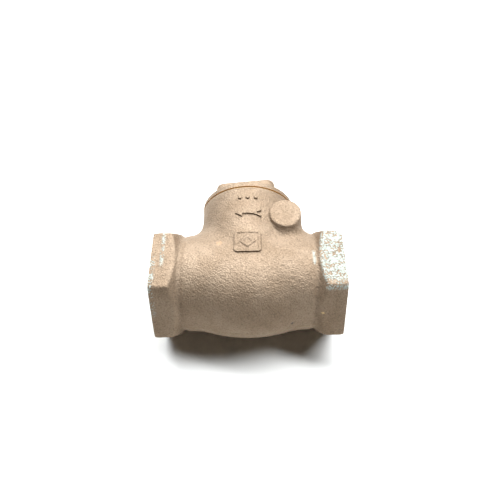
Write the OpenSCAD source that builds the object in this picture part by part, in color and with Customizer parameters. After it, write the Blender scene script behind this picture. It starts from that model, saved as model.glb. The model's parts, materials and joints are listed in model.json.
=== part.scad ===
// Threaded swing check valve in cast bronze, lying on one side.
// Origin: centre of the inlet port's face, on the flow line.
// +X runs from the outlet to the inlet, so water flows towards -X.
// +Y runs from the flow line towards the cap. +Z is up, along the hinge pin.

/* [Body casting] */
// Length from the outlet face to the inlet face
body_l = 112; // [110:1:116]
// Distance across the flats of the two pipe hexes
hex_af = 62.2; // [61:0.1:64]
// Width of a pipe hex at the middle of a flat
hex_w = 14; // [13:0.5:15]
// Width of a pipe hex at its corners
hex_corner_w = 11; // [10:0.5:12]
// Outer radius of the barrel at its middle
barrel_r = 31; // [30.5:0.1:31]
// Outer radius of the barrel beside the hexes
barrel_end_r = 29.8; // [29.5:0.1:30]
// How far the belly of the barrel is shifted away from the cap
belly_drop = 4; // [3:0.5:4.5]
// Wall thickness of the casting
wall = 4; // [3.8:0.1:4.2]

/* [Pipe ports] */
// Radius of the port wall, the thread's tap drill
port_r = 22; // [21.8:0.1:22.2]
// Length of each port's threaded wall
port_l = 18; // [17:0.5:19]

/* [Bonnet neck and cap] */
// Distance of the neck's centre line from the inlet face
neck_x = 55.5; // [55:0.5:56.5]
// Outer radius of the neck
neck_r = 30.9; // [30.5:0.1:31]
// Height of the neck's face above the flow line
neck_top = 52; // [51.5:0.5:53]
// Radius of the cap's thread
cap_thread_r = 27.5; // [27.3:0.1:27.6]
// Length of the cap's thread
cap_thread_l = 11; // [10:0.5:12]
// Radius of the cap's flange
flange_r = 31.1; // [30.9:0.1:31.1]
// Thickness of the cap's flange
flange_t = 3.7; // [3:0.1:4]
// Distance across the flats of the cap's square head
head_af = 40.5; // [39:0.5:41.5]
// Height of the top of the head above the flow line
head_top = 67.6; // [66:0.1:69]
// Turn of the screwed-in head about the neck's centre line, degrees
head_turn = -6.4; // [-10:0.1:10]
// Thickness of the ring under the cap
gasket_t = 1; // [0.8:0.1:1.2]

/* [Hinge] */
// Distance of the hinge pin from the inlet face
hinge_x = 32.5; // [32:0.5:33]
// Height of the hinge pin above the flow line
hinge_y = 32.4; // [32:0.1:33]
// Radius of the hinge pin
pin_r = 3.2; // [3:0.1:3.4]
// Radius of the blind boss at its face
boss_r = 9.8; // [9.4:0.1:10]
// Radius of the hinge housing at the middle of the casting
housing_r = 12.8; // [12.2:0.1:13]
// Height of the blind boss's face
boss_top = 30.1; // [29:0.1:31]

/* [Flap] */
// Lean of the seat face away from upright, degrees
seat_tilt = 10; // [9:0.5:11]
// Distance of the seat's centre from the inlet face
seat_x = 30; // [29.5:0.5:30.5]
// Radius of the opening through the seat
seat_r = 19; // [18.5:0.5:19]
// Radius of the disc holder
disc_r = 23.2; // [23:0.1:23.3]
// Thickness of the soft seat disc
soft_t = 3; // [2.8:0.1:3.2]

/* [Hidden] */
$fn = 96;

// Clearances
fit = 0.05;            // running fit, on the radius
gap = 0.3;             // between parts that only pass each other
seat_gap = 0.02;       // soft disc from the seat lip, closed

// Body
hex_r = hex_af / sqrt(3);
cone_slope = (hex_w - hex_corner_w) / (hex_r - hex_af / 2);
waist_r = 28.3;
barrel_half = body_l / 2 - hex_w - 2.5;
belly_end_r = 22;
chamber_r = barrel_r - wall;
chamber_taper = 9;
bore_r = 26;
rest_z = -hex_af / 2;

// Hinge, along Z
pocket_r = 8;
pocket_half = 11.5;
pin_top = 23.5;
pin_bottom = -18.8;
plug_bore_r = 6.05;
plug_r = plug_bore_r - fit;
plug_face_z = -26.3;
plug_gasket_t = 0.8;
plug_head_af = 15;
plug_head_h = plug_face_z - plug_gasket_t - rest_z;
plug_thread_l = 7;

// Flap, measured along the seat's own axis, from the seat face into the chamber
lip_h = 2.5;
lip_r = 21.8;
pocket_wall_r = 25.5;
pocket_depth = 12;
soft_r = 22.3;
holder_t = 2.6;
back_t = soft_t + holder_t;
stud_r = 5;
front_stud_r = 3.5;
plate_t = 1.4;
plate_r = 10;
disc_nut_af = 12;
disc_nut_h = 5;
eye_t = 5;
eye_r = 9.5;
eye_start = back_t + 0.4;
eye_end = eye_start + eye_t;
washer_t = 1.2;
washer_start = eye_end + 0.2;
washer_end = washer_start + washer_t;
hanger_nut_af = 15;
hanger_nut_h = 5.5;
nut_end = washer_end + hanger_nut_h;
stud_end = nut_end + 3.6;
cotter_r = 0.9;
cotter_t = nut_end + 1.3;
hub_r = 6.3;
hub_half = 11;

// Cap
head_corner = 6;

// Raised marks
mark_root_z = 25;
mark_h = 0.8;
pad_w = 16.2;
pad_low = 3.9;
pad_high = 18.5;
pad_top = 31.8;
pad_corner = 2.2;
pad_rim = 1.2;
pad_field_depth = 0.5;
arrow_y = 32;
pip_y = 44;
pip_r = 1.1;

// Turns a shape made along +Z so that it points along +X
module along_x() {
    rotate([0, 90, 0]) children();
}

// Turns a shape made along +Z so that it points along +Y
module along_y() {
    rotate([-90, 0, 0]) children();
}

// Places a shape made along +Z on the seat's axis, z = 0 at the seat face
module on_seat() {
    translate([-seat_x, 0, 0])
        rotate([0, 0, -seat_tilt])
            rotate([0, -90, 0]) children();
}

module hexagon(af) {
    circle(r = af / sqrt(3), $fn = 6);
}

// Solid of revolution along X whose outline is one arc
module bulge(mid_r, end_r, half_l) {
    arc_r = (half_l * half_l + pow(mid_r - end_r, 2)) / (2 * (mid_r - end_r));
    along_x() rotate_extrude() intersection() {
        translate([mid_r - arc_r, 0]) circle(arc_r, $fn = 720);
        translate([0, -half_l]) square([mid_r + 1, 2 * half_l]);
    }
}

// Pipe hex with its face at x = 0 and its chamfered side towards -X
module pipe_hex() {
    mirror([1, 0, 0]) intersection() {
        along_x() linear_extrude(hex_w + 4) rotate(30) hexagon(hex_af);
        along_x() rotate_extrude() polygon([
            [0, 0],
            [hex_r + 1, 0],
            [hex_r + 1, hex_corner_w - cone_slope],
            [waist_r, hex_w + (hex_af / 2 - waist_r) * cone_slope],
            [0, hex_w + (hex_af / 2 - waist_r) * cone_slope]
        ]);
    }
}

// Raised rounded square on the front of the casting, with a rim and a plain field
module mark_pad() {
    pad_h = pad_high - pad_low;
    translate([-neck_x - pad_w / 2, pad_low, mark_root_z]) difference() {
        linear_extrude(pad_top - mark_root_z) rounded_rect(pad_w, pad_h, pad_corner);
        translate([pad_rim, pad_rim, pad_top - mark_root_z - pad_field_depth])
            linear_extrude(1)
                rounded_rect(pad_w - 2 * pad_rim, pad_h - 2 * pad_rim, pad_corner - pad_rim);
    }
}

// Rectangle with round corners, built from rectangles and circles
module rounded_rect(w, h, r) {
    translate([r, 0]) square([w - 2 * r, h]);
    translate([0, r]) square([w, h - 2 * r]);
    for (x = [r, w - r], y = [r, h - r])
        translate([x, y]) circle(r, $fn = 32);
}

// Flow arrow and three pips, standing a little proud of the neck
module neck_marks() {
    intersection() {
        translate([-neck_x, 0, 20]) linear_extrude(15) {
            translate([-4.2, arrow_y - 0.9]) square([12.2, 1.8]);
            translate([-8, arrow_y]) polygon([[0, 0], [4.4, 2.6], [4.4, -2.6]]);
            for (x = [-5, 0, 5])
                translate([x, pip_y]) circle(pip_r, $fn = 32);
        }
        translate([-neck_x, 20, 0]) along_y() cylinder(h = 30, r = neck_r + mark_h);
    }
}

module body_outside() {
    pipe_hex();
    translate([-body_l, 0, 0]) mirror([1, 0, 0]) pipe_hex();
    translate([-body_l + hex_w, 0, 0]) along_x() cylinder(h = body_l - 2 * hex_w, r = waist_r);
    translate([-body_l / 2, 0, 0]) bulge(barrel_r, barrel_end_r, barrel_half);
    translate([-body_l / 2, -belly_drop, 0]) bulge(barrel_r, belly_end_r, barrel_half);
    translate([-neck_x, 0, 0]) along_y() cylinder(h = neck_top, r = neck_r);
    translate([-hinge_x, hinge_y, 0]) cylinder(h = boss_top, r1 = housing_r, r2 = boss_r);
    translate([-hinge_x, hinge_y, 0]) mirror([0, 0, 1])
        cylinder(h = -plug_face_z, r1 = housing_r, r2 = boss_r);
    mark_pad();
    neck_marks();
}

// Hollow behind the seat and out to the outlet port
module chamber() {
    translate([-body_l + port_l + chamber_taper, 0, 0]) along_x()
        cylinder(h = body_l - port_l - chamber_taper - seat_x - 4, r = chamber_r);
    translate([-body_l + port_l, 0, 0]) along_x()
        cylinder(h = chamber_taper, r1 = port_r, r2 = chamber_r);
    translate([-body_l / 2, -belly_drop, 0])
        bulge(chamber_r, belly_end_r - wall, barrel_half - chamber_taper - 6);
    on_seat() translate([0, 0, -lip_h]) cylinder(h = pocket_depth, r = pocket_wall_r);
}

module body() color("#c8a788") difference() {
    body_outside();
    difference() {
        chamber();
        on_seat() translate([0, 0, -lip_h - 1]) cylinder(h = lip_h + 1, r = lip_r);
    }
    // Inlet port, throat and seat opening
    translate([-port_l, 0, 0]) along_x() cylinder(h = port_l + 1, r = port_r);
    translate([-seat_x - 1, 0, 0]) along_x() cylinder(h = seat_x, r = seat_r);
    on_seat() translate([0, 0, -8]) cylinder(h = 9, r = seat_r);
    // Outlet port
    translate([-body_l - 1, 0, 0]) along_x() cylinder(h = port_l + 1, r = port_r);
    // Neck: open bore, then the wider bore that takes the cap's thread
    translate([-neck_x, 0, 0]) along_y() cylinder(h = neck_top + 1, r = bore_r);
    translate([-neck_x, neck_top - cap_thread_l - 1.5, 0]) along_y()
        cylinder(h = cap_thread_l + 3, r = cap_thread_r + fit);
    // Hinge: pocket for the hub, pin bore and plug bore
    translate([-hinge_x, hinge_y, -pocket_half]) cylinder(h = 2 * pocket_half, r = pocket_r);
    translate([-hinge_x, hinge_y, pin_bottom - 1])
        cylinder(h = pin_top - pin_bottom + 1 + gap, r = pin_r + fit);
    translate([-hinge_x, hinge_y, plug_face_z - 1])
        cylinder(h = pin_bottom - plug_face_z + 0.8, r = plug_bore_r);
    // Spot face that the plug's gasket seals on
    translate([-hinge_x, hinge_y, plug_face_z - 8]) cylinder(h = 8, r = boss_r + 0.6);
}

module cap() color("#cdb08f") difference() {
    union() {
        flange_low = neck_top + gasket_t;
        translate([-neck_x, flange_low, 0]) along_y() cylinder(h = flange_t, r = flange_r);
        translate([-neck_x, flange_low + flange_t, 0]) along_y()
            cylinder(h = 1.5, r1 = flange_r, r2 = 26);
        translate([-neck_x, neck_top - cap_thread_l, 0]) along_y()
            cylinder(h = cap_thread_l + gasket_t + 1, r = cap_thread_r);
        translate([-neck_x, flange_low, 0]) rotate([0, head_turn, 0]) along_y()
            linear_extrude(head_top - flange_low)
                translate([-head_af / 2, -head_af / 2]) rounded_rect(head_af, head_af, head_corner);
    }
    translate([-neck_x, neck_top - cap_thread_l - 1, 0]) along_y()
        cylinder(h = cap_thread_l + 2.5, r = 22.5);
    translate([-neck_x, neck_top, 0]) along_y() cylinder(h = 8, r = 14);
}

module cap_gasket() color("#a5742f") translate([-neck_x, neck_top, 0]) along_y()
    difference() {
        cylinder(h = gasket_t, r = neck_r - 0.6);
        translate([0, 0, -1]) cylinder(h = gasket_t + 2, r = cap_thread_r + gap);
    }

module hinge_pin() color("#b9a36a") translate([-hinge_x, hinge_y, pin_bottom])
    cylinder(h = pin_top - pin_bottom, r = pin_r);

module side_plug() color("#bf9f62") translate([-hinge_x, hinge_y, 0]) {
    translate([0, 0, rest_z]) linear_extrude(plug_head_h) hexagon(plug_head_af);
    translate([0, 0, rest_z + plug_head_h - 0.1])
        cylinder(h = plug_thread_l + plug_gasket_t, r = plug_r);
}

module plug_gasket() color("#9c5a3c")
    translate([-hinge_x, hinge_y, plug_face_z - plug_gasket_t]) difference() {
        cylinder(h = plug_gasket_t, r = 8.6);
        translate([0, 0, -1]) cylinder(h = plug_gasket_t + 2, r = plug_r + gap);
    }

// Distances of the hinge pin from the seat's centre, along and across the seat's face
hinge_s = (seat_x - hinge_x) * sin(seat_tilt) + hinge_y * cos(seat_tilt);
hinge_t = (hinge_x - seat_x) * cos(seat_tilt) + hinge_y * sin(seat_tilt);

module hanger() color("#c2a05e") difference() {
    union() {
        translate([-hinge_x, hinge_y, -hub_half]) cylinder(h = 2 * hub_half, r = hub_r);
        on_seat() translate([0, 0, eye_start]) cylinder(h = eye_t, r = eye_r);
        on_seat() translate([0, 0, eye_start]) linear_extrude(eye_t) arm_outline();
    }
    translate([-hinge_x, hinge_y, -hub_half - 1]) cylinder(h = 2 * hub_half + 2, r = pin_r + fit);
    on_seat() translate([0, 0, eye_start - 1]) cylinder(h = eye_t + 2, r = stud_r + 0.08);
}

// Arm seen along the seat's axis, from the eye up to the hub
module arm_outline() {
    polygon([[-6.5, 0], [6.5, 0], [9, hinge_s], [-9, hinge_s]]);
}

module disc_holder() color("#c2a05e") on_seat() difference() {
    union() {
        translate([0, 0, 0.8]) cylinder(h = back_t - 0.8, r = disc_r);
        cylinder(h = stud_end, r = stud_r);
        translate([0, 0, -plate_t - disc_nut_h - 1.5])
            cylinder(h = plate_t + disc_nut_h + 2, r = front_stud_r);
    }
    difference() {
        translate([0, 0, -0.5]) cylinder(h = soft_t + 0.5, r = soft_r + fit);
        translate([0, 0, -1]) cylinder(h = soft_t + 2, r = front_stud_r);
    }
    translate([0, 0, cotter_t]) along_y() translate([0, 0, -stud_r - 1])
        cylinder(h = 2 * stud_r + 2, r = cotter_r + fit, $fn = 32);
}

module seat_disc() color("#e9e4d8") on_seat() difference() {
    translate([0, 0, seat_gap]) cylinder(h = soft_t - seat_gap, r = soft_r);
    translate([0, 0, -1]) cylinder(h = soft_t + 2, r = front_stud_r + fit);
}

module disc_plate() color("#c9a85f") on_seat() translate([0, 0, -plate_t]) difference() {
    cylinder(h = plate_t + seat_gap, r = plate_r);
    translate([0, 0, -1]) cylinder(h = plate_t + 2, r = front_stud_r + fit);
}

module disc_nut() color("#c9a85f") on_seat() translate([0, 0, -plate_t - disc_nut_h])
    difference() {
        linear_extrude(disc_nut_h) hexagon(disc_nut_af);
        translate([0, 0, -1]) cylinder(h = disc_nut_h + 2, r = front_stud_r + fit);
    }

module hanger_washer() color("#c9a85f") on_seat() translate([0, 0, washer_start]) difference() {
    cylinder(h = washer_t, r = 8.8);
    translate([0, 0, -1]) cylinder(h = washer_t + 2, r = stud_r + fit);
}

module hanger_nut() color("#c9a85f") on_seat() translate([0, 0, washer_end]) difference() {
    linear_extrude(hanger_nut_h) hexagon(hanger_nut_af);
    translate([0, 0, -1]) cylinder(h = hanger_nut_h + 2, r = stud_r + fit);
}

// Split pin: shank through the stud, round head and two spread ends
module cotter_pin() color("#d0b060") on_seat() translate([0, 0, cotter_t]) along_y() {
    translate([0, 0, -stud_r - 2.4]) cylinder(h = 2 * stud_r + 3.6, r = cotter_r, $fn = 32);
    translate([0, 0, -stud_r - 3.4]) rotate([90, 0, 0]) rotate_extrude($fn = 48)
        translate([1.5, 0]) circle(0.7, $fn = 24);
    for (side = [-1, 1])
        translate([0, 0, stud_r + 0.9]) rotate([0, side * 35, 0])
            cylinder(h = 3.4, r = 0.6, $fn = 24);
}

body();
cap();
cap_gasket();
hinge_pin();
side_plug();
plug_gasket();
hanger();
disc_holder();
seat_disc();
disc_plate();
disc_nut();
hanger_washer();
hanger_nut();
cotter_pin();
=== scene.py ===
"""Looks for a cast bronze swing check valve: cast skins, threads, turned parts, materials, light and camera.
Shapes are made in millimetres and turned into metres as each mesh is made. Places come from the frame."""

import json
import math

import bpy
import numpy as np
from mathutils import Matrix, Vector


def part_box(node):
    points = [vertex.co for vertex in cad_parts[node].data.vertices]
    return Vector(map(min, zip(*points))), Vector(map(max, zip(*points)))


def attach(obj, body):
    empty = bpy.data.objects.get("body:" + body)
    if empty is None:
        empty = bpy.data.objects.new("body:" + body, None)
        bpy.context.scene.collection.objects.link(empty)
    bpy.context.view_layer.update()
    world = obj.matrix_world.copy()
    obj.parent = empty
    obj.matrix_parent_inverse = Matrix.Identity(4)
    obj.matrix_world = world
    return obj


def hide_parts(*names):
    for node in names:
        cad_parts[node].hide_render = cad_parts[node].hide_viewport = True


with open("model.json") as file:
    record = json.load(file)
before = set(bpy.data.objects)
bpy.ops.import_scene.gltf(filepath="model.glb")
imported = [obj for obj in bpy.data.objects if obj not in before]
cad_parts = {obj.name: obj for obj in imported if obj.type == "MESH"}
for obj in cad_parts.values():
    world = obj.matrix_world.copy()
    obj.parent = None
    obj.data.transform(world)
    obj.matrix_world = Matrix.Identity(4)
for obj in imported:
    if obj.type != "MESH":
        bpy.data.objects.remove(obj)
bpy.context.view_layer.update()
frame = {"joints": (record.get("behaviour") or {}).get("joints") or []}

import openvdb
from mathutils import Matrix, Vector

MM = 0.001
TURN = 2 * math.pi
ORIGIN = Vector((0, 0, 0))
ALONG_X, ALONG_Y, ALONG_Z = Vector((1, 0, 0)), Vector((0, 1, 0)), Vector((0, 0, 1))


# ---------------------------------------------------------------- places from the frame

def corners(node):
    """Lowest and highest corner of a CAD node, in millimetres."""
    low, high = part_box(node)
    return np.array(low) / MM, np.array(high) / MM


def joint(name):
    return next(j for j in frame["joints"] if j["name"] == name)


def joint_place(name):
    return Vector(joint(name)["pos_m"]) / MM


def joint_axis(name):
    return Vector(joint(name)["axis"]).normalized()


body_low, body_high = corners("body")
cap_low, cap_high = corners("cap")
length = body_high[0] - body_low[0]
mid_x = -length / 2
half_flat = -body_low[2]
neck_top = body_high[1]
neck_x = joint_place("cap_turn").x
hinge = joint_place("disc_swing")
seat = joint_place("disc_spin")
seat_axis = joint_axis("disc_spin")
across_seat = seat_axis.cross(ALONG_Z)

# Casting
hex_w = 14
hex_cone_slope = 0.62
corner_face_r = 35.3
waist_r = 28.3
barrel_r, barrel_end_r, barrel_half = 31, 29.8, 39.5
belly_drop, belly_end_r = 4, 22
neck_r = 30.9
housing_r, boss_r = 12.8, 9.8
boss_top = 30.1
plug_face = corners("plug_gasket")[1][2]
skin_step = 0.8
seam_h, seam_w = 0.2, 0.55

# Tools wider than anything that they trim, and wider than any pipe or cap thread
trim_r, thread_tool_r = 45, 30

# Raised marks
mark_h = 1.1
pad_half, pad_low, pad_high = 8.1, 3.9, 18.5
arrow_y, arrow_half = 32, 8
pip_y, pip_gap, pip_r = 44, 5, 1.3

# Ports, with a taper pipe thread
port_r, port_l = 22, 18
port_pitch = 25.4 / 11.5
port_crest_r, port_root_r = 22.26, 23.95
port_taper = 1 / 32

# Inside of the casting
throat_r = 19
lip_r, lip_h = 21.8, 2.5
seat_pocket_r = 25.5
chamber_r = 27
bore_r = 26
hub_pocket_r, hub_pocket_half = 8, 11.5
pin_bore_r, pin_bore_end = 3.25, 23.8
plug_bore_r, plug_bore_end = 6.05, -19

# Cap
cap_pitch = 2.0
cap_crest_r, cap_root_r = 27.4, 26.25
thread_play = 0.15
neck_thread_l = 12.5
recess_r, recess_core_r = 22.5, 14
recess_top, recess_core_top = 0.7, 7.2
flange_r, flange_t = 31.1, 3.7
flange_low = corners("cap_gasket")[1][1]
head_af, head_corner = 40.5, 6
head_turn = math.radians(-6.4)
ring_inner, ring_outer, ring_play = 27.8, 30.3, 0.02

# Side plug
plug_af, plug_neck_r, plug_thread_r, plug_pitch = 15, 5.3, 5.95, 1.25
plug_washer_inner, plug_washer_outer = 6.3, 8.6

# Flap, measured along the seat's axis from the seat's face
soft_t, back_t = 3, 5.6
soft_r, disc_r = 22.3, 23.2
stud_r, front_stud_r = 5, 3.5
eye_low, eye_high, eye_r = 6, 11, 9.5
washer_low, washer_high = 11.2, 12.4
nut_high, stud_end = 17.9, 21.5
cotter_at = 19.2
plate_t, disc_nut_h = 1.4, 5
plate_r, washer_r = 10, 8.8
disc_nut_af, hanger_nut_af = 12, 15
stud_pitch, front_stud_pitch = 1.5, 1.0
stud_play = 0.05
hub_r, hub_half = 6.3, 11


# ---------------------------------------------------------------- meshes

def mesh_piece(name, points, faces):
    """A mesh object from points in millimetres."""
    mesh = bpy.data.meshes.new(name)
    mesh.from_pydata((np.asarray(points, float) * MM).tolist(), [], [tuple(map(int, f)) for f in faces])
    piece = bpy.data.objects.new(name, mesh)
    bpy.context.scene.collection.objects.link(piece)
    return piece


def signed_volume(mesh):
    mesh.calc_loop_triangles()
    ends = np.empty(len(mesh.loop_triangles) * 3, np.int32)
    mesh.loop_triangles.foreach_get("vertices", ends)
    co = np.empty(len(mesh.vertices) * 3, np.float32)
    mesh.vertices.foreach_get("co", co)
    a, b, c = co.reshape(-1, 3)[ends.reshape(-1, 3)].transpose(1, 0, 2).astype(float)
    return float(np.einsum("ij,ij->i", a, np.cross(b, c)).sum())


def outward(piece):
    """Turns all faces over if the closed mesh is inside out."""
    if signed_volume(piece.data) < 0:
        piece.data.flip_normals()
    return piece


def placed(piece, origin, axis):
    """Turns a piece made along +Z so that it points along axis, and moves it to origin."""
    turn = ALONG_Z.rotation_difference(axis).to_matrix().to_4x4()
    piece.data.transform(Matrix.Translation(Vector(origin) * MM) @ turn)
    return piece


def round_corners(outline, steps=4):
    """The (radius, height) points of an outline, with an arc at each corner that has a rounding.
    A corner with a rounding is written as (radius, height, rounding)."""
    out = []
    for i, point in enumerate(outline):
        here = Vector(point[:2])
        if len(point) < 3 or i in (0, len(outline) - 1):
            out.append(tuple(here))
            continue
        before, after = Vector(outline[i - 1][:2]), Vector(outline[i + 1][:2])
        back, ahead = (before - here).normalized(), (after - here).normalized()
        half = back.angle(ahead) / 2
        room = 0.49 * min((before - here).length, (after - here).length)
        reach = min(point[2] / math.tan(half), room)
        radius = reach * math.tan(half)
        centre = here + (back + ahead).normalized() * (radius / math.sin(half))
        start, end = here + back * reach - centre, here + ahead * reach - centre
        sweep = math.atan2(start.x * end.y - start.y * end.x, start.dot(end))
        for k in range(steps + 1):
            c, s = math.cos(sweep * k / steps), math.sin(sweep * k / steps)
            out.append((centre.x + c * start.x - s * start.y, centre.y + s * start.x + c * start.y))
    return out


def lathe(name, outline, origin=ORIGIN, axis=ALONG_Z, segments=128, steps=4):
    """A solid of revolution. The outline starts and ends on the axis, or closes on itself for a ring."""
    rows, points = [], []
    angles = np.arange(segments) * TURN / segments
    for radius, height in round_corners(outline, steps):
        if radius < 1e-6:
            rows.append([len(points)] * segments)
            points.append((0, 0, height))
        else:
            rows.append(range(len(points), len(points) + segments))
            points.extend((radius * math.cos(a), radius * math.sin(a), height) for a in angles)
    pairs = list(zip(rows, rows[1:]))
    if outline[0][0] > 0:
        pairs.append((rows[-1], rows[0]))
    faces = []
    for low, high in pairs:
        for j in range(segments):
            k = (j + 1) % segments
            face = list(dict.fromkeys((low[j], low[k], high[k], high[j])))
            if len(face) > 2:
                faces.append(face)
    return placed(outward(mesh_piece(name, points, faces)), origin, axis)


def prism(name, outline, low, high, origin=ORIGIN, axis=ALONG_Z):
    """A straight prism over a closed outline of (x, y) points."""
    count = len(outline)
    points = [(x, y, low) for x, y in outline] + [(x, y, high) for x, y in outline]
    faces = [list(range(count))[::-1], list(range(count, 2 * count))]
    faces += [(i, (i + 1) % count, count + (i + 1) % count, count + i) for i in range(count)]
    return placed(outward(mesh_piece(name, points, faces)), origin, axis)


def screw(name, pitch, low, high, root_r, crest_r, taper=0.0, origin=ORIGIN, axis=ALONG_Z, segments=120):
    """A closed right-hand thread. Its rows follow the helix, two at the root and two at the crest of a turn.
    The radius grows by taper for each millimetre along the axis."""
    phases = ((-0.06, root_r), (0.06, root_r), (0.44, crest_r), (0.56, crest_r))
    per_turn = len(phases)
    first, last = math.floor(low / pitch) - 1, math.ceil(high / pitch)
    rows = [((k + phase) * pitch, radius) for k in range(first, last) for phase, radius in phases]
    points = []
    for height, radius in rows:
        for j in range(segments):
            angle = TURN * j / segments
            along = height + pitch * j / segments
            r = radius + taper * along
            points.append((r * math.cos(angle), r * math.sin(angle), along))

    def at(row, column):
        return (row + per_turn) * segments if column == segments else row * segments + column

    faces = []
    count = len(rows)
    for i in range(count - 1):
        for j in range(segments):
            if j < segments - 1 or i + 1 + per_turn < count:
                faces.append((at(i, j), at(i, j + 1), at(i + 1, j + 1), at(i + 1, j)))
    start_loop = [at(0, j) for j in range(segments)] + [at(i, 0) for i in range(per_turn, 0, -1)]
    end_loop = [at(count - 1, j) for j in range(segments)]
    end_loop += [at(i, segments - 1) for i in range(count - 2, count - 2 - per_turn, -1)]
    for loop, height, at_start in ((start_loop, rows[0][0], True), (end_loop, rows[-1][0] + pitch, False)):
        hub = len(points)
        points.append((0, 0, height))
        for a, b in zip(loop, loop[1:] + loop[:1]):
            faces.append((b, a, hub) if at_start else (a, b, hub))
    return placed(outward(mesh_piece(name, points, faces)), origin, axis)


def combine(target, other, operation):
    """target becomes its union with, difference from or intersection with other, and other is removed."""
    step = target.modifiers.new("combine", "BOOLEAN")
    step.operation, step.solver, step.material_mode, step.object = operation, "MANIFOLD", "TRANSFER", other
    shape = bpy.data.meshes.new_from_object(target.evaluated_get(bpy.context.evaluated_depsgraph_get()))
    target.modifiers.clear()
    old = target.data
    target.data = shape
    bpy.data.meshes.remove(old)
    bpy.data.objects.remove(other)
    return target


def join_all(first, *others):
    for other in others:
        combine(first, other, "UNION")
    return first


def cut_all(target, *cutters):
    for cutter in cutters:
        combine(target, cutter, "DIFFERENCE")
    return target


def wear(material, *pieces):
    """Gives each piece that material, which its faces keep when it is cut into or joined to another piece."""
    for piece in pieces:
        piece.data.materials.clear()
        piece.data.materials.append(material)
    return pieces[0] if len(pieces) == 1 else pieces


# ---------------------------------------------------------------- cast skins from distance fields

def grid(low, high, step):
    sizes = [int(math.ceil((h - l) / step)) + 1 for l, h in zip(low, high)]
    lines = [l + step * np.arange(n, dtype=np.float32) for l, n in zip(low, sizes)]
    return np.meshgrid(*lines, indexing="ij")


def smooth_min(a, b, blend):
    """The lower of two distances, with a fillet of about that size where they meet."""
    share = np.clip(0.5 + 0.5 * (b - a) / blend, 0, 1)
    return b + (a - b) * share - blend * share * (1 - share)


def smooth_max(a, b, blend):
    return -smooth_min(-a, -b, blend)


def rounded_box(x, y, half_x, half_y, corner):
    """Distance from a rectangle with round corners, about x = 0, y = 0."""
    dx, dy = np.abs(x) - half_x + corner, np.abs(y) - half_y + corner
    return np.hypot(np.maximum(dx, 0), np.maximum(dy, 0)) + np.minimum(np.maximum(dx, dy), 0) - corner


def skin(name, distance, low, step):
    """A closed mesh at distance zero of a field sampled on a grid."""
    reach = 3 * step
    volume = openvdb.FloatGrid(background=reach)
    volume.copyFromArray(np.clip(distance, -reach, reach).astype(np.float32))
    volume.transform = openvdb.createLinearTransform(voxelSize=step)
    points, quads = volume.convertToQuads(isovalue=0.0)
    return outward(mesh_piece(name, points + np.asarray(low), quads))


def lumps(points, size, seed):
    """Smooth random values from -1 to 1 at points, with bumps of about that size."""
    places = points / size
    base = np.floor(places).astype(int)
    part = places - base
    part = part * part * (3 - 2 * part)
    base -= base.min(0)
    table = np.random.default_rng(seed).uniform(-1, 1, base.max(0) + 2)
    value = 0
    for dx in (0, 1):
        for dy in (0, 1):
            for dz in (0, 1):
                weight = np.where(dx, part[:, 0], 1 - part[:, 0])
                weight = weight * np.where(dy, part[:, 1], 1 - part[:, 1])
                weight = weight * np.where(dz, part[:, 2], 1 - part[:, 2])
                value = value + weight * table[base[:, 0] + dx, base[:, 1] + dy, base[:, 2] + dz]
    return value


def roughen(piece, grains, seed=1):
    """Moves a cast skin in and out along its normals. grains is a list of (bump size, height)."""
    mesh = piece.data
    places = np.empty(len(mesh.vertices) * 3, np.float32)
    normals = np.empty_like(places)
    mesh.vertices.foreach_get("co", places)
    mesh.vertex_normals.foreach_get("vector", normals)
    places = places.reshape(-1, 3) / MM
    push = sum(height * lumps(places, size, seed + k) for k, (size, height) in enumerate(grains))
    places += normals.reshape(-1, 3) * push[:, None]
    mesh.vertices.foreach_set("co", (places * MM).ravel().astype(np.float32))
    mesh.update()
    return piece


CAST_GRAIN = ((12, 0.04), (3.0, 0.04), (1.6, 0.11))
FINE_GRAIN = ((6, 0.05), (1.5, 0.07))


def raised_marks():
    """The pad on the barrel, and the arrow and three pips on the neck, as one fine skin."""
    step = 0.35
    low = np.array((mid_x - pad_half - 2, pad_low - 2, 22))
    x, y, z = grid(low, (mid_x + pad_half + 2, pip_y + 4, body_high[2] + 2), step)
    from_neck = np.hypot(x - neck_x, z) - neck_r
    from_cast = np.minimum(from_neck, np.hypot(y, z) - barrel_r)
    pad_mid = (pad_low + pad_high) / 2
    pad = rounded_box(x - mid_x, y - pad_mid, pad_half, (pad_high - pad_low) / 2, 2.2)
    rim_w, field_depth = 1.3, 0.45
    diamond = np.abs(np.abs(x - mid_x) * 0.9 + np.abs(y - pad_mid) - 3.4) - 0.7
    sunk = field_depth * np.clip(-(pad + rim_w) / 0.5, 0, 1) * np.clip(diamond / 0.5, 0, 1)
    pad = smooth_max(pad, from_cast - mark_h + sunk, 0.45)

    ahead, aside = x - neck_x, np.abs(y - arrow_y)
    shaft = np.maximum(aside - 1.1, np.abs(ahead - 0.5) - 5)
    head = np.maximum((aside - (ahead + arrow_half) * 0.7) * 0.82, ahead + 3.6)
    barbs = np.maximum(np.abs(aside - (ahead - 3) * 0.45) - 0.8, np.abs(ahead - 5.5) - 2.7)
    pips = np.hypot(np.abs(np.abs(ahead) - pip_gap / 2) - pip_gap / 2, y - pip_y) - pip_r
    marks = smooth_min(smooth_min(shaft, head, 0.5), barbs, 0.5)
    marks = smooth_max(np.minimum(marks, pips), from_neck - mark_h, 0.6)
    marks = np.maximum(np.minimum(pad, marks), -2 - from_cast)
    return roughen(skin("marks", marks, low, step), ((3, 0.08), (1.1, 0.08)), seed=60)


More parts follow.
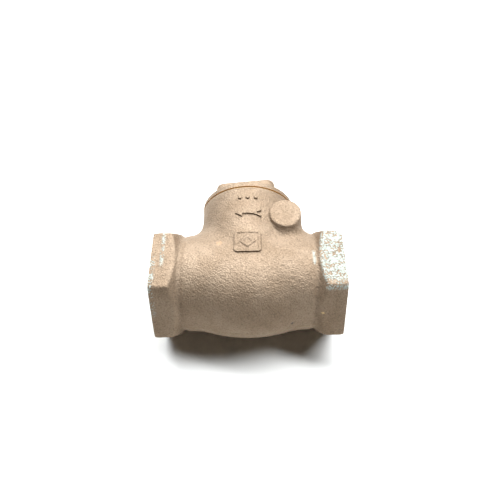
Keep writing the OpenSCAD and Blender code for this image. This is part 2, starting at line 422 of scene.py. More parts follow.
def casting_skin():
    low, high = body_low - 3.2, body_high + np.array((3.2, 3.2, 1.6))
    x, y, z = grid(low, high, skin_step)
    across = np.hypot(y, z)
    from_mid = np.abs(x - mid_x)
    from_face = length / 2 - from_mid

    # Pipe hexes: six flats, their corners a little rounded, with a cone on the side towards the barrel
    hexes = np.abs(z)
    for side in (-1, 1):
        hexes = smooth_max(hexes, np.abs(y * math.cos(TURN / 12) + side * z / 2), 0.8)
    hexes = hexes - half_flat
    cone = (from_face - hex_w - (half_flat - across) * hex_cone_slope) / math.hypot(1, hex_cone_slope)
    hexes = smooth_max(hexes, cone, 0.9)
    hexes = smooth_max(hexes, (across - corner_face_r - from_face) * math.sqrt(0.5), 1.2)
    hexes = np.maximum(hexes, -from_face - 2)

    # Barrel and belly, with parabolas as outlines
    share = (from_mid / barrel_half) ** 2
    barrel = across - barrel_r + (barrel_r - barrel_end_r) * share
    barrel = smooth_max(barrel, from_mid - barrel_half, 3)
    belly = np.hypot(y + belly_drop, z) - barrel_r + (barrel_r - belly_end_r) * share
    belly = np.maximum(belly, from_mid - barrel_half)
    waist = np.maximum(across - waist_r, from_mid - length / 2 + 6)
    trunk = smooth_min(smooth_min(barrel, belly, 1), waist, 1.5)

    # Neck and hinge housing
    from_neck = np.hypot(x - neck_x, z)
    neck = np.maximum(from_neck - neck_r, np.abs(y - neck_top / 2) - neck_top / 2 - 2)
    apart = 1 - z * z / (np.maximum(across, 5) * np.maximum(from_neck, 5))
    cast = smooth_min(trunk, neck, np.maximum(13 * apart, 0.5))
    draft = (housing_r - boss_r) / boss_top
    housing = np.hypot(x - hinge.x, y - hinge.y) - housing_r + draft * np.abs(z)
    housing = smooth_max(housing, z - boss_top, 0.5)
    housing = np.maximum(housing, plug_face - 2 - z)
    to_front = np.clip((hinge.y + 2 - y) / 12, 0, 1) * np.clip((x - hinge.x + 10) / 10, 0, 1)
    cast = smooth_min(cast, housing, 1.2 + 12 * to_front)
    cast = smooth_min(cast, hexes, 2.5)

    # Thin flash along the line where the mould's halves met
    flash = seam_h * np.exp(-(z / seam_w) ** 2)
    return roughen(skin("casting", cast - flash, low, skin_step), CAST_GRAIN)


def cast_hollow():
    """The rough hollow of the casting: chamber, belly, neck and hinge pocket."""
    start, end = -length + port_l, seat.x - 4
    chamber_outline = [(0, start - 1), (port_r, start - 1), (port_r, start, 2),
                       (chamber_r, start + 9, 5), (chamber_r, end, 2), (0, end)]
    chamber = lathe("chamber", chamber_outline, axis=ALONG_X)
    half = barrel_half - 17.5
    steps = 8
    narrowing = chamber_r - belly_end_r + 4
    curve = [(chamber_r - narrowing * (k / steps) ** 2, half * k / steps) for k in range(-steps, steps + 1)]
    belly_outline = [(0, -half)] + curve + [(0, half)]
    belly = lathe("belly", belly_outline, origin=(mid_x, -belly_drop, 0), axis=ALONG_X)
    neck_outline = [(0, 0), (bore_r, 0), (bore_r, neck_top - 6), (0, neck_top - 6)]
    neck = lathe("neck_bore", neck_outline, origin=(neck_x, 0, 0), axis=ALONG_Y)
    pocket_outline = [(0, -hub_pocket_half), (hub_pocket_r, -hub_pocket_half, 1),
                      (hub_pocket_r, hub_pocket_half, 1), (0, hub_pocket_half)]
    pocket = lathe("hub_pocket", pocket_outline, origin=(hinge.x, hinge.y, 0), segments=64)
    return join_all(chamber, belly, neck, pocket)


def port_cut(name, axis, face_x):
    """Tool for one pipe port: face trimmed flat, chamfered mouth, taper thread and plain end."""
    place = (face_x, 0, 0)
    relief_r = port_r + 1.1
    outline = [(0, 3), (trim_r, 3), (trim_r, 0), (port_root_r + 1, 0), (port_crest_r - 0.3, -2.2),
               (port_r - 0.4, -port_l + 2), (relief_r, -port_l + 1.6), (relief_r, -port_l, 0.5), (0, -port_l)]
    mouth = lathe(name, outline, place, axis)
    start = -port_l + 1
    thread = screw(name + "_thread", port_pitch, start, 1, port_crest_r, port_root_r, port_taper, place, axis)
    within = lathe("within", [(0, start), (thread_tool_r, start), (thread_tool_r, 1), (0, 1)], place, axis)
    return combine(mouth, combine(thread, within, "INTERSECT"), "UNION")


def seat_cut():
    """Tool for the throat, the raised seat lip and the turned pocket around it."""
    outline = [(0, 9.5), (seat_pocket_r, 9.5), (seat_pocket_r, -lip_h, 1), (lip_r, -lip_h, 0.6),
               (lip_r, 0, 0.25), (throat_r, 0, 0.25), (throat_r, -8), (0, -8)]
    return lathe("seat_cut", outline, seat, seat_axis)


def neck_cut():
    """Tool for the neck's face, its mouth and the thread that takes the cap."""
    place = (neck_x, 0, 0)
    start = neck_top - neck_thread_l
    relief_r = cap_crest_r + 0.3
    outline = [(0, neck_top + 6), (trim_r, neck_top + 6), (trim_r, neck_top), (cap_crest_r + 0.5, neck_top),
               (cap_root_r, neck_top - 1), (cap_root_r + 0.1, start + 1.6), (relief_r, start + 1.4),
               (relief_r, start, 0.4), (0, start)]
    face = lathe("neck_face", outline, place, ALONG_Y)
    low, high = start + 1, neck_top + 1
    root_r, crest_r = cap_root_r + thread_play, cap_crest_r + thread_play
    thread = screw("neck_thread", cap_pitch, low, high, root_r, crest_r, 0, place, ALONG_Y)
    within_outline = [(0, low), (thread_tool_r, low), (thread_tool_r, high), (0, high)]
    within = lathe("within", within_outline, place, ALONG_Y)
    return combine(face, combine(thread, within, "INTERSECT"), "UNION")


def hinge_cut():
    """Tool for the spot face, the plug's bore and the blind bore for the hinge pin."""
    spot_r = boss_r + 0.6
    outline = [(0, plug_face - 8), (spot_r, plug_face - 8), (spot_r, plug_face),
               (plug_bore_r + 0.5, plug_face), (plug_bore_r, plug_face + 0.5), (plug_bore_r, plug_bore_end),
               (pin_bore_r, plug_bore_end), (pin_bore_r, pin_bore_end), (0, pin_bore_end + 1)]
    return lathe("hinge_cut", outline, (hinge.x, hinge.y, 0), segments=64)


def make_body():
    casting = wear(cast_bronze, casting_skin())
    join_all(casting, wear(cast_bronze, raised_marks()))
    hollow = wear(cast_bronze, cast_hollow())
    start, end = -port_l - 9, -port_l + 0.1
    throat = lathe("throat", [(0, start), (throat_r, start), (throat_r, end), (0, end)], axis=ALONG_X)
    tools = [port_cut("inlet", ALONG_X, 0), port_cut("outlet", -ALONG_X, -length), throat, seat_cut()]
    wear(bored_bronze, *tools)
    tools += [wear(faced_bronze, neck_cut()), wear(spot_bronze, hinge_cut())]
    return cut_all(casting, hollow, *tools)


def make_cap():
    """Flange, low dome and square head, with the threaded spigot and the hollow underneath."""
    step = 0.6
    low = np.array((neck_x - 34, flange_low - 2.4, -34))
    x, y, z = grid(low, (neck_x + 34, cap_high[1] + 2.4, 34), step)
    across = np.hypot(x - neck_x, z)
    flange = smooth_max(across - flange_r, y - flange_low - flange_t, 1.2)
    dome = np.maximum(across - 26, y - flange_low - flange_t - 1.2)
    c, s = math.cos(head_turn), math.sin(head_turn)
    side, depth = (x - neck_x) * c - z * s, (x - neck_x) * s + z * c
    draft = (y - flange_low) * 0.02
    head = rounded_box(side, depth, head_af / 2, head_af / 2, head_corner) + draft
    head = smooth_max(head, y - cap_high[1], 3)
    top = smooth_min(smooth_min(flange, dome, 2.5), head, 3.5)
    top = np.maximum(top, flange_low - 1.5 - y)
    cap = wear(cast_bronze, roughen(skin("cap", top, low, step), FINE_GRAIN, seed=20))
    place = (neck_x, 0, 0)
    under_r, under_low = 40, flange_low - 6
    under_outline = [(0, under_low), (under_r, under_low), (under_r, flange_low), (0, flange_low)]
    cut_all(cap, wear(faced_bronze, lathe("under", under_outline, place, ALONG_Y)))
    thread = screw("spigot", cap_pitch, cap_low[1], flange_low, cap_root_r, cap_crest_r, 0, place, ALONG_Y)
    spigot_low, spigot_high = cap_low[1] + 0.02, flange_low + 0.3
    spigot_outline = [(0, spigot_low), (cap_root_r - 0.2, spigot_low), (cap_crest_r + 0.1, cap_low[1] + 1.3),
                      (cap_crest_r + 0.1, spigot_high), (0, spigot_high)]
    within = lathe("within", spigot_outline, place, ALONG_Y)
    join_all(cap, wear(faced_bronze, combine(thread, within, "INTERSECT")))
    step_y, end_y = flange_low + recess_top, flange_low + recess_core_top
    recess_outline = [(0, cap_low[1] - 1), (recess_r, cap_low[1] - 1), (recess_r, step_y, 2),
                      (recess_core_r, step_y, 1), (recess_core_r, end_y, 3), (0, end_y)]
    return cut_all(cap, wear(cast_bronze, lathe("recess", recess_outline, place, ALONG_Y)))


def ring(name, inner, outer, low, high, soften, origin, axis, segments=128):
    """A flat ring or a bush with softened edges."""
    outline = [(inner, (low + high) / 2), (inner, low, soften), (outer, low, soften), (outer, high, soften),
               (inner, high, soften)]
    return lathe(name, outline, origin, axis, segments, steps=2)


def chamfered_hex(name, across_flats, low, high, chamfer_low, chamfer_high, origin, axis):
    """A hexagonal nut or head blank whose corners are turned off at the ends that ask for it."""
    corner = across_flats / math.sqrt(3)
    outline = [(corner * math.cos(k * TURN / 6), corner * math.sin(k * TURN / 6)) for k in range(6)]
    blank = prism(name, outline, low, high, origin, axis)
    cut = corner - across_flats / 2 * 0.96
    rise = (cut + 1) * 0.577
    cone = [(0, low), (corner + 1, low), (corner + 1, high), (0, high)]
    if chamfer_low:
        cone[1:2] = [(corner - cut, low), (corner + 1, low + rise)]
    if chamfer_high:
        cone[-2:-1] = [(corner + 1, high - rise), (corner - cut, high)]
    return combine(blank, lathe("cone", cone, origin, axis, 96), "INTERSECT")


def bored_nut(name, across_flats, low, high, bore, pitch, origin, axis):
    nut = chamfered_hex(name, across_flats, low, high, True, True, origin, axis)
    outline = [(0, low - 0.1), (bore + 0.5, low - 0.1), (bore - 0.1, low + 0.6),
               (bore - 0.1, high - 0.6), (bore + 0.5, high + 0.1), (0, high + 0.1)]
    mouth = lathe("mouth", outline, origin, axis, 64)
    thread = screw("nut_thread", pitch, low - 1, high + 1, bore - pitch * 0.5, bore, 0, origin, axis, 48)
    return cut_all(nut, mouth, thread)


def bolt_thread(name, pitch, crest_r, low, high, origin, axis):
    """A threaded rod whose ends are chamfered."""
    depth = pitch * 0.5
    thread = screw(name, pitch, low, high, crest_r - depth, crest_r, 0, origin, axis, 64)
    outline = [(0, low), (crest_r - depth, low), (crest_r + 0.1, low + depth),
               (crest_r + 0.1, high - depth), (crest_r - depth, high), (0, high)]
    within = lathe("within", outline, origin, axis, 64)
    return combine(thread, within, "INTERSECT")


def tube(name, path, radius, sides=14):
    """A round wire along a path of points, with closed ends."""
    path = [Vector(p) for p in path]
    normal = (path[1] - path[0]).orthogonal().normalized()
    points, faces = [], []
    for i, here in enumerate(path):
        ahead = (path[min(i + 1, len(path) - 1)] - path[max(i - 1, 0)]).normalized()
        normal = (normal - ahead * normal.dot(ahead)).normalized()
        other = ahead.cross(normal)
        for k in range(sides):
            a = TURN * k / sides
            points.append(here + (normal * math.cos(a) + other * math.sin(a)) * radius)
    for i in range(len(path) - 1):
        for k in range(sides):
            n = (k + 1) % sides
            faces.append((i * sides + k, i * sides + n, (i + 1) * sides + n, (i + 1) * sides + k))
    faces += [tuple(range(sides))[::-1], tuple(range(len(points) - sides, len(points)))]
    return outward(mesh_piece(name, points, faces))


# ---------------------------------------------------------------- hinge, plug and flap

def make_hinge_pin():
    low, high = corners("hinge_pin")
    r = (high[0] - low[0]) / 2
    return lathe("hinge_pin", [(0, low[2]), (r, low[2], 0.6), (r, high[2], 0.6), (0, high[2])],
                 (hinge.x, hinge.y, 0), segments=64)


def make_side_plug():
    low, high = corners("side_plug")
    place = (hinge.x, hinge.y, 0)
    gasket_low = corners("plug_gasket")[0][2]
    head = chamfered_hex("side_plug", plug_af, low[2], gasket_low, True, False, place, ALONG_Z)
    start, end = gasket_low - 0.5, plug_face + 0.8
    neck_outline = [(0, start), (plug_neck_r, start), (plug_neck_r, end), (0, end)]
    neck = lathe("plug_neck", neck_outline, place, segments=48)
    thread = bolt_thread("plug_thread", plug_pitch, plug_thread_r, plug_face + 0.5, high[2], place, ALONG_Z)
    return join_all(head, neck, thread)


def on_seat(across, out, height):
    """A point of the flap: across the seat upwards, out along +Z, and height above the seat's face."""
    return seat + across_seat * across + ALONG_Z * out + seat_axis * height


def make_disc_holder():
    front_end = -plate_t - disc_nut_h - 1.5
    front_core_r, back_core_r = front_stud_r - 0.5, stud_r - 0.8
    outline = [(0, front_end), (front_core_r, front_end),
               (front_core_r, 0.5), (front_stud_r, 0.5), (front_stud_r, soft_t), (soft_r + 0.05, soft_t),
               (soft_r + 0.05, 0.8), (disc_r, 0.8, 0.3), (disc_r, back_t, 0.9), (disc_r - 4, back_t, 0.6),
               (disc_r - 4.6, back_t - 0.5, 0.6), (stud_r + 4, back_t - 0.5, 0.6), (stud_r + 3, back_t, 0.5),
               (stud_r, back_t, 0.3), (stud_r, washer_high - 0.4), (back_core_r, washer_high - 0.2),
               (back_core_r, stud_end - 0.2), (0, stud_end - 0.2)]
    holder = lathe("disc_holder", outline, seat, seat_axis, 144)
    back_thread = bolt_thread("back_thread", stud_pitch, stud_r - 0.05, washer_high - 0.3, stud_end,
                              seat, seat_axis)
    front_thread = bolt_thread("front_thread", front_stud_pitch, front_stud_r, front_end, 0.2,
                               seat, seat_axis)
    join_all(holder, back_thread, front_thread)
    hole = lathe("cotter_hole", [(0, -8), (1, -8), (1, 8), (0, 8)], on_seat(0, 0, cotter_at), across_seat, 32)
    return cut_all(holder, hole)


def make_hanger():
    step = 0.5
    low, high = corners("hanger")
    low, high = low - 1.5, high + 1.5
    x, y, z = grid(low, high, step)
    height = (x - seat.x) * seat_axis.x + (y - seat.y) * seat_axis.y
    across = (x - seat.x) * across_seat.x + (y - seat.y) * across_seat.y
    hinge_across = (hinge - seat).dot(across_seat)
    slab = np.abs(height - (eye_low + eye_high) / 2) - (eye_high - eye_low) / 2
    eye = smooth_max(np.hypot(across, z) - eye_r, slab, 0.8)
    half_w = 6.5 + 2.5 * across / hinge_across
    arm = smooth_max(np.abs(z) - half_w, slab, 1.2)
    arm = np.maximum(arm, np.maximum(-across, across - hinge_across))
    rib = np.maximum(np.abs(z) - 1.6, np.maximum(4 - across, across - hinge_across))
    rib = smooth_max(rib, np.maximum(height - eye_high - 2.2, eye_low - height), 0.8)
    rib = np.maximum(rib, eye_r + 1 - np.hypot(across, z))
    hub = smooth_max(np.hypot(x - hinge.x, y - hinge.y) - hub_r, np.abs(z) - hub_half, 0.8)
    shape = smooth_min(smooth_min(smooth_min(eye, arm, 1), rib, 1.5), hub, 2)
    hanger = wear(inner_bronze, roughen(skin("hanger", shape, low, step), FINE_GRAIN, seed=40))
    pin_outline = [(0, -14), (pin_bore_r, -14), (pin_bore_r, 14), (0, 14)]
    pin_bore = lathe("pin_bore", pin_outline, (hinge.x, hinge.y, 0), segments=48)
    stud_outline = [(0, 0), (stud_r + 0.08, 0), (stud_r + 0.08, 16), (0, 16)]
    stud_bore = lathe("stud_bore", stud_outline, seat, seat_axis, 64)
    return cut_all(hanger, wear(turned_brass, pin_bore), wear(turned_brass, stud_bore))


def make_cotter_pin():
    """A split pin: one wire that loops into a round head, with its two ends bent apart."""
    wire, gap_half = 0.42, 0.45
    head = -stud_r - 3.4
    head_r = 1.5
    loop = [on_seat(head - head_r * math.cos(a), head_r * math.sin(a), cotter_at)
            for a in np.linspace(math.pi - 0.5, -math.pi + 0.5, 15)]
    legs = []
    for side in (1, -1):
        leg = [on_seat(a, side * gap_half, cotter_at) for a in np.linspace(-stud_r - 1.2, stud_r + 0.7, 6)]
        leg += [on_seat(stud_r + 0.9 + 2.8 * t, side * (gap_half + 1.9 * t * t + 0.2 * t), cotter_at)
                for t in np.linspace(0.1, 1, 5)]
        legs.append(leg)
    path = legs[0][::-1] + loop + legs[1]
    return tube("cotter_pin", path, wire)


# ---------------------------------------------------------------- materials

class Look:
    """A material and its node tree, with short calls for the nodes that the looks share."""

    def __init__(self, name):
        self.material = bpy.data.materials.new(name)
        self.material.use_nodes = True
        self.tree = self.material.node_tree
        self.tree.nodes.clear()
        self.place = self.add("ShaderNodeTexCoord").outputs["Object"]

    def add(self, kind, sockets=None, **settings):
        node = self.tree.nodes.new(kind)
        for key, value in settings.items():
            setattr(node, key, value)
        for key, value in (sockets or {}).items():
            if isinstance(value, bpy.types.NodeSocket):
                self.tree.links.new(value, node.inputs[key])
            else:
                node.inputs[key].default_value = value
        return node

    def noise(self, size, detail=2.0, place=None, distortion=0.0):
        """Values from about 0.2 to 0.8, with bumps of that size in millimetres."""
        return self.add("ShaderNodeTexNoise", {"Vector": place or self.place, "Scale": 1 / (size * MM),
                                               "Detail": detail, "Distortion": distortion}).outputs["Fac"]

    def ramp(self, value, low, high, out_low=0.0, out_high=1.0):
        return self.add("ShaderNodeMapRange", {"Value": value, "From Min": low, "From Max": high,
                                               "To Min": out_low, "To Max": out_high}).outputs["Result"]

    def math(self, operation, a, b=0.0):
        return self.add("ShaderNodeMath", {0: a, 1: b}, operation=operation).outputs[0]

    def vector(self, operation, a, b, output="Vector"):
        b = b if isinstance(b, bpy.types.NodeSocket) else tuple(b)
        return self.add("ShaderNodeVectorMath", {0: a, 1: b}, operation=operation).outputs[output]

    def mix(self, share, a, b):
        """Colour a where share is 0 and colour b where it is 1."""
        a, b = (c if isinstance(c, bpy.types.NodeSocket) else (*c, 1) for c in (a, b))
        return self.add("ShaderNodeMix", {0: share, 6: a, 7: b}, data_type="RGBA").outputs[2]

    def bump(self, height, depth, below=None):
        """A bump of that depth in millimetres."""
        sockets = {"Height": height, "Distance": depth * MM, "Strength": 1.0}
        if below:
            sockets["Normal"] = below
        return self.add("ShaderNodeBump", sockets).outputs["Normal"]

    def split(self):
        axes = self.add("ShaderNodeSeparateXYZ", {"Vector": self.place}).outputs
        return axes["X"], axes["Y"], axes["Z"]

    def shade(self, colour, roughness, metallic, normal=None, **sockets):
        values = {"Base Color": colour if isinstance(colour, bpy.types.NodeSocket) else (*colour, 1),
                  "Roughness": roughness, "Metallic": metallic, **sockets}
        if normal:
            values["Normal"] = normal
        shader = self.add("ShaderNodeBsdfPrincipled", values)
        self.add("ShaderNodeOutputMaterial", {"Surface": shader.outputs[0]})
        return self.material


def cast_look(name, pale, deep, patina):
    """Sand-cast metal: pebbled grain, uneven tone, painted shade in creases and pits, painted highlights on
    grain tops.
    Patina gathers on the pipe ends.
    """
    look = Look(name)
    broad, pebble, fine = look.noise(16, 3), look.noise(0.95, 2), look.noise(0.35, 2)
    tone = look.mix(look.ramp(broad, 0.35, 0.65), deep, pale)
    # Painted shade: concave creases (low pointiness), such as between the hex cones and the barrel, are
    # darkened.
    crest = look.add("ShaderNodeNewGeometry").outputs["Pointiness"]
    tone = look.mix(look.ramp(crest, 0.46, 0.50, 0.35, 0.0), tone, [c * 0.5 for c in deep])
    # Painted shade in the grain's pits and painted highlight on its tops: the bump's height noise darkens low
    # spots and lightens high ones.
    tone = look.mix(look.ramp(pebble, 0.28, 0.47, 0.5, 0.0), tone, [c * 0.55 for c in deep])
    tone = look.mix(look.ramp(pebble, 0.55, 0.75, 0.0, 0.35), tone, [min(1, c * 1.25) for c in pale])
    tone = look.mix(look.ramp(fine, 0.35, 0.65, 0.0, 0.2), tone, [c * 0.7 for c in deep])
    rough = look.ramp(pebble, 0.3, 0.7, 0.74, 0.62)
    normal = look.bump(pebble, 0.5)
    normal = look.bump(fine, 0.06, normal)
    metallic = 0.72
    if patina:
        tone = handled_spots(look, tone)
        cover = patina_cover(look)
        tone = look.mix(look.math("MULTIPLY", cover, 0.9), tone, (0.49, 0.53, 0.48))
        rough = look.math("MAXIMUM", rough, look.math("MULTIPLY", cover, 0.85))
        metallic = look.ramp(cover, 0.0, 1.0, metallic, 0.3)
        normal = look.bump(cover, 0.25, normal)
    return look.shade(tone, rough, metallic, normal)


def patina_cover(look):
    """Where pale green crust lies, 0 to 1: over most of the inlet hex's upper flat and below its edge, in one
    streak on the cone behind it, and on the outlet hex in a streak and along the outer edge."""
    x, y, z = look.split()
    crumbs, spread = look.noise(1.1, 3, distortion=0.4), look.noise(5, 2)
    on_top = look.ramp(z, 0.0292, 0.0304)

    def within(value, middle, half, soft=0.0008):
        away = look.math("ABSOLUTE", look.math("SUBTRACT", value, middle))
        return look.ramp(away, half + soft, half - soft)

    def crust(thickness, *masks):
        level = look.math("ADD", crumbs, look.math("MULTIPLY", spread, 0.5))
        cover = look.ramp(level, 0.95 - thickness, 1.02 - thickness)
        for mask in masks:
            cover = look.math("MULTIPLY", cover, mask)
        return cover

    patches = (
        crust(0.27, on_top, look.ramp(x, -0.0150, -0.0130), look.ramp(y, -0.0165, -0.0140)),
        crust(0.12, on_top, look.ramp(x, -0.0150, -0.0130)),
        crust(0.24, look.ramp(x, -0.0140, -0.0120), look.ramp(y, -0.0180, -0.0186),
              look.ramp(z, 0.0270, 0.0288)),
        crust(0.30, within(x, -0.0174, 0.0006), within(y, 0.0006, 0.0045), look.ramp(z, 0.020, 0.022)),
        crust(0.24, on_top, within(x, -0.1055, 0.0008), look.ramp(y, -0.007, 0.0)),
        crust(0.17, look.ramp(x, -0.1085, -0.1100), look.ramp(z, 0.010, 0.024), look.ramp(y, 0.004, 0.0)),
    )
    cover = patches[0]
    for patch in patches[1:]:
        cover = look.math("MAXIMUM", cover, patch)
    return cover


def handled_spots(look, tone):
    """A rubbed golden nick by the inlet hex, a warm spot on the barrel and one dark pit."""
    for centre, radius, colour in (((-13.2, -27.8, 14.1), 1.1, (0.80, 0.58, 0.30)),
                                   ((-72.9, 11.7, 28.7), 2.2, (0.50, 0.33, 0.20)),
                                   ((-30.6, -30.4, 6), 1.3, (0.05, 0.045, 0.04))):
        away = look.vector("DISTANCE", look.place, Vector(centre) * MM, "Value")
        ragged = look.math("ADD", away, look.math("MULTIPLY", look.noise(0.9, 3), 2.4 * radius * MM))
        tone = look.mix(look.ramp(ragged, 2.1 * radius * MM, 1.6 * radius * MM, 0.0, 0.8), tone, colour)
    return tone


def turned_look(name, pale, deep, origin, axis, roughness=0.32):
    """Metal turned on an axis: fine rings round it, with a slightly uneven tarnish."""
    look = Look(name)
    arm = look.vector("SUBTRACT", look.place, Vector(origin) * MM)
    along = look.vector("DOT_PRODUCT", arm, axis, "Value")
    squared = look.vector("DOT_PRODUCT", arm, arm, "Value")
    off_axis = look.math("SUBTRACT", squared, look.math("MULTIPLY", along, along))
    radius = look.math("SQRT", look.math("MAXIMUM", off_axis, 0.0))
    lines_at = look.add("ShaderNodeCombineXYZ", {"X": radius, "Y": along}).outputs[0]
    lines, grooves = look.noise(0.45, 3, place=lines_at), look.noise(1.8, 3, place=lines_at)
    tarnish = look.noise(9, 2)
    tone = look.mix(look.ramp(tarnish, 0.3, 0.7, 0.0, 0.6), pale, deep)
    tone = look.mix(look.ramp(grooves, 0.35, 0.65, 0.0, 0.45), tone, deep)
    rough = look.ramp(grooves, 0.3, 0.7, roughness - 0.05, roughness + 0.12)
    normal = look.bump(lines, 0.03, look.bump(grooves, 0.06))
    return look.shade(tone, rough, 1.0, normal)


def dull_look(name, pale, deep, roughness, metallic, grain=0.8, depth=0.03):
    look = Look(name)
    blotch = look.noise(4, 3)
    tone = look.mix(look.ramp(blotch, 0.3, 0.7), pale, deep)
    normal = look.bump(look.noise(grain, 3), depth)
    return look.shade(tone, look.ramp(blotch, 0.3, 0.7, roughness, roughness + 0.12), metallic, normal)


PALE_BRONZE, DEEP_BRONZE = (0.374, 0.280, 0.196), (0.296, 0.212, 0.140)
GOLD, DARK_GOLD = (0.66, 0.495, 0.315), (0.52, 0.37, 0.22)

cast_bronze = cast_look("cast_bronze", PALE_BRONZE, DEEP_BRONZE, patina=True)
inner_bronze = cast_look("inner_bronze", (0.66, 0.48, 0.29), (0.50, 0.34, 0.20), patina=False)
bored_bronze = turned_look("bored_bronze", GOLD, DARK_GOLD, ORIGIN, ALONG_X)
faced_bronze = turned_look("faced_bronze", GOLD, DARK_GOLD, (neck_x, 0, 0), ALONG_Y)
spot_bronze = turned_look("spot_bronze", GOLD, DARK_GOLD, (hinge.x, hinge.y, 0), ALONG_Z)
holder_bronze = turned_look("holder_bronze", (0.76, 0.56, 0.33), DARK_GOLD, seat, seat_axis, 0.38)
turned_brass = turned_look("turned_brass", (0.86, 0.68, 0.38), (0.70, 0.52, 0.27), seat, seat_axis)
pin_brass = turned_look("pin_brass", (0.80, 0.70, 0.50), (0.62, 0.52, 0.34), (hinge.x, hinge.y, 0), ALONG_Z,
                        0.25)
copper = dull_look("copper", (0.72, 0.40, 0.27), (0.50, 0.25, 0.16), 0.35, 1.0)
gasket_ring = dull_look("gasket_ring", (0.55, 0.33, 0.12), (0.34, 0.19, 0.07), 0.6, 0.0)
soft_disc = dull_look("soft_disc", (0.84, 0.82, 0.76), (0.76, 0.73, 0.66), 0.38, 0.0, 2.5, 0.02)


# ---------------------------------------------------------------- stage, light and camera

WALL_BRIGHTNESS = 0.9
GLOW_START, GLOW_FULL = 0.25, 0.55
FLOOR_REACH = 4
ROOM_COLOUR, ROOM_STRENGTH = (1, 0.95, 0.86, 1), 0.03
LIGHT_COLOUR = (0.96, 1, 1.04)
# Each light's name, place in metres, width, depth and power
LIGHTS = (("high", (0.06, 0.297, 0.902), 1.4, 0.22, 24),
          ("low", (-0.08, 0.769, 0.558), 1.6, 0.25, 12))


def paper_look():
    """Pale paper. Far from the valve the camera sees it as bright as the wall behind."""
    look = Look("paper")
    shader = look.add("ShaderNodeBsdfPrincipled", {"Base Color": (0.91, 0.895, 0.86, 1), "Roughness": 0.8})
    glow = look.add("ShaderNodeEmission", {"Color": (1, 1, 1, 1), "Strength": WALL_BRIGHTNESS})
    away = look.vector("DISTANCE", look.place, (mid_x * MM, 0, body_low[2] * MM), "Value")
    far = look.ramp(away, GLOW_START, GLOW_FULL)
    seen = look.add("ShaderNodeLightPath").outputs["Is Camera Ray"]
    share = look.math("MULTIPLY", far, seen)
    blend = look.add("ShaderNodeMixShader", {0: share, 1: shader.outputs[0], 2: glow.outputs[0]})
    look.add("ShaderNodeOutputMaterial", {"Surface": blend.outputs[0]})
    return look.material


def stage_and_light():
    floor_z = body_low[2] * MM
    mesh = bpy.data.meshes.new("floor")
    signs = ((-1, -1), (1, -1), (1, 1), (-1, 1))
    floor_points = [(x * FLOOR_REACH, y * FLOOR_REACH, floor_z) for x, y in signs]
    mesh.from_pydata(floor_points, [], [(0, 1, 2, 3)])
    floor = bpy.data.objects.new("floor", mesh)
    bpy.context.scene.collection.objects.link(floor)
    mesh.materials.append(paper_look())

    world = bpy.data.worlds.new("studio")
    bpy.context.scene.world = world
    world.use_nodes = True
    nodes, links = world.node_tree.nodes, world.node_tree.links
    room = nodes["Background"]
    room.inputs[0].default_value = ROOM_COLOUR
    room.inputs[1].default_value = ROOM_STRENGTH
    wall = nodes.new("ShaderNodeBackground")
    wall.inputs[0].default_value = (1, 1, 1, 1)
    wall.inputs[1].default_value = WALL_BRIGHTNESS
    choice = nodes.new("ShaderNodeMixShader")
    links.new(nodes.new("ShaderNodeLightPath").outputs["Is Camera Ray"], choice.inputs[0])
    links.new(room.outputs[0], choice.inputs[1])
    links.new(wall.outputs[0], choice.inputs[2])
    links.new(choice.outputs[0], nodes["World Output"].inputs[0])
    bpy.context.scene.view_settings.view_transform = "Standard"

    target = Vector((mid_x * MM, 0, 0))
    for name, place, wide, deep, power in LIGHTS:
        light = bpy.data.lights.new(name, "AREA")
        light.shape, light.size, light.size_y, light.energy = "RECTANGLE", wide, deep, power
        light.color = LIGHT_COLOUR
        lamp = bpy.data.objects.new(name, light)
        lamp.location = place
        lamp.rotation_euler = (target - lamp.location).to_track_quat("-Z", "Y").to_euler()
        bpy.context.scene.collection.objects.link(lamp)


def camera():
    """The photograph's viewpoint: high over the front of the valve, looking down at it."""
    place = Vector((-53.417, -125.128, 245.232))
    pitch, yaw, roll = math.radians(-58.707), math.radians(-0.507), math.radians(-1.414)
    forward = Vector((math.sin(yaw) * math.cos(pitch), math.cos(yaw) * math.cos(pitch), math.sin(pitch)))
    level = Vector((math.cos(yaw), -math.sin(yaw), 0))
    lifted = level.cross(forward)
    right = level * math.cos(roll) + lifted * math.sin(roll)
    up = -level * math.sin(roll) + lifted * math.cos(roll)
    data = bpy.data.cameras.new("camera")
    data.sensor_width, data.lens = 36, 31.07
    view = bpy.data.objects.new("camera", data)
    turn = Matrix((right, up, -forward)).transposed().to_4x4()
    view.matrix_world = Matrix.Translation(place * MM) @ turn
    bpy.context.scene.collection.objects.link(view)
    bpy.context.scene.camera = view


# ---------------------------------------------------------------- assembly

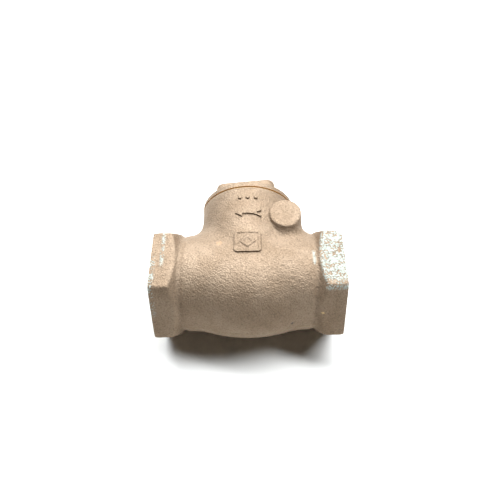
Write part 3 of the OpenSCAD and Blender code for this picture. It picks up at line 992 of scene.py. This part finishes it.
def shown(piece, node, body, sharp_angle=38):
    """Names the piece after the CAD node it stands for and lets it move with that node's body."""
    piece.name = node + "_look"
    piece.data.set_sharp_from_angle(angle=math.radians(sharp_angle))
    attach(piece, body)
    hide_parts(node)


neck_place, hinge_place = (neck_x, 0, 0), (hinge.x, hinge.y, 0)
shown(make_body(), "body", "root")
shown(make_cap(), "cap", "cap")
cap_gasket = ring("ring", ring_inner, ring_outer, neck_top, flange_low - ring_play, 0.2, neck_place, ALONG_Y)
shown(wear(gasket_ring, cap_gasket), "cap_gasket", "cap_ring")
shown(wear(pin_brass, make_hinge_pin()), "hinge_pin", "pin")
shown(wear(pin_brass, make_side_plug()), "side_plug", "root")
plug_gasket = ring("ring", plug_washer_inner, plug_washer_outer, corners("plug_gasket")[0][2], plug_face, 0.2,
                   hinge_place, ALONG_Z, 72)
shown(wear(copper, plug_gasket), "plug_gasket", "root")
shown(make_hanger(), "hanger", "flap_arm")
shown(wear(holder_bronze, make_disc_holder()), "disc_holder", "flap_disc")
front_bore_r, back_bore_r = front_stud_r + stud_play, stud_r + stud_play
seat_disc = ring("ring", front_bore_r, soft_r, 0.02, soft_t, 0.3, seat, seat_axis)
shown(wear(soft_disc, seat_disc), "seat_disc", "flap_disc")
disc_plate = ring("ring", front_bore_r, plate_r, -plate_t, 0.02, 0.2, seat, seat_axis, 96)
shown(wear(turned_brass, disc_plate), "disc_plate", "flap_disc")
disc_nut = bored_nut("nut", disc_nut_af, -plate_t - disc_nut_h, -plate_t, front_bore_r, front_stud_pitch,
                     seat, seat_axis)
shown(wear(turned_brass, disc_nut), "disc_nut", "flap_disc")
hanger_washer = ring("ring", back_bore_r, washer_r, washer_low, washer_high, 0.2, seat, seat_axis, 72)
shown(wear(turned_brass, hanger_washer), "hanger_washer", "flap_disc")
hanger_nut = bored_nut("nut", hanger_nut_af, washer_high, nut_high, back_bore_r, stud_pitch, seat, seat_axis)
shown(wear(turned_brass, hanger_nut), "hanger_nut", "flap_disc")
shown(wear(turned_brass, make_cotter_pin()), "cotter_pin", "flap_disc")

stage_and_light()
camera()
